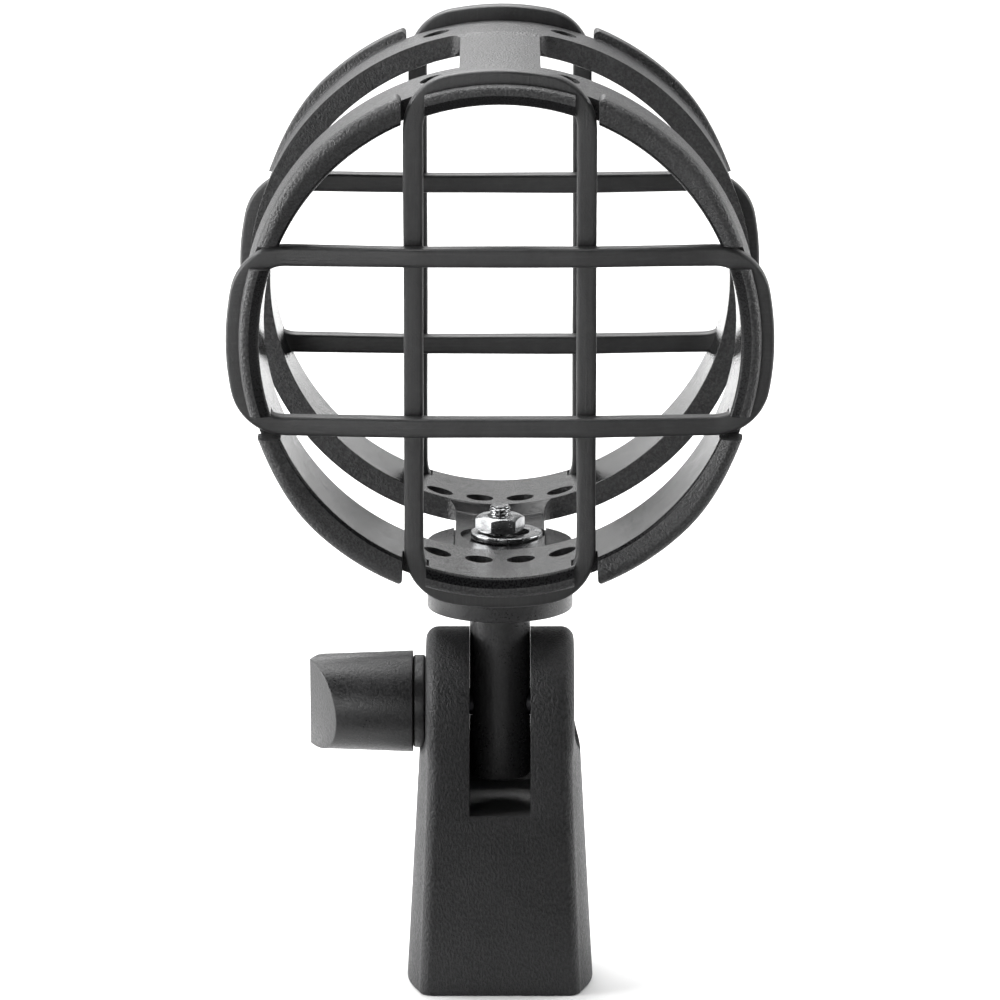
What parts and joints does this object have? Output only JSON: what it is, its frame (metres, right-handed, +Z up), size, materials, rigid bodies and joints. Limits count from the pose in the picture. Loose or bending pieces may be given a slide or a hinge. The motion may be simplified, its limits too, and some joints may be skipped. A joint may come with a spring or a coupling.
{
  "type": "microphone shock mount",
  "caption": "Round cage of two rings whose crossed rubber bands hold a microphone, on a tilting stem clamped in a stand adapter.",
  "frame": {"origin": "centre of the stand base's bottom face, on the axis of its thread", "axes": "+Z up the stand base to the cage, +Y through the cage from its front ring to its rear ring, +X to the right, away from the clamp knob"},
  "size_m": [0.0976, 0.081, 0.1776],
  "materials": {
    "base_plastic": "leather-grained black plastic",
    "knob_plastic": "finely grained black plastic",
    "stem_plastic": "smooth satin black plastic",
    "cage_plastic": "black plastic, grained outside and glossy inside",
    "band_rubber": "satin black rubber",
    "zinc_steel": "bright zinc plating",
    "black_steel": "blackened steel",
    "brass": "plain turned brass"
  },
  "bodies": {
    "base": {"stand_base": "base_plastic", "thread_insert": "brass", "clamp_nut": "zinc_steel"},
    "head": {"swivel_stem": "stem_plastic", "cage": "cage_plastic", "band_front_vertical": "band_rubber", "band_front_horizontal": "band_rubber", "band_rear_vertical": "band_rubber", "band_rear_horizontal": "band_rubber", "cage_stud": "zinc_steel", "cage_washer": "zinc_steel", "cage_nut": "zinc_steel"},
    "collar": {"clamp_collar": "knob_plastic"},
    "knob": {"clamp_knob": "knob_plastic", "clamp_screw": "black_steel"}
  },
  "joints": [
    {"name": "tilt", "type": "hinge", "parent": "base", "child": "head", "pos_m": [0, 0, 0.05285], "axis": [1, 0, 0], "range_deg": [-90, 90]},
    {"name": "collar_slide", "type": "slide", "parent": "base", "child": "collar", "axis": [-1, 0, 0], "range_m": [0, 0.00125]},
    {"name": "knob_turn", "type": "hinge", "parent": "collar", "child": "knob", "pos_m": [0, 0, 0.05285], "axis": [-1, 0, 0], "range_deg": [0, 540]}
  ],
  "couplings": [
    {"joint": "collar_slide", "follows": "knob_turn", "m_per_rad": 0.00012732}
  ]
}
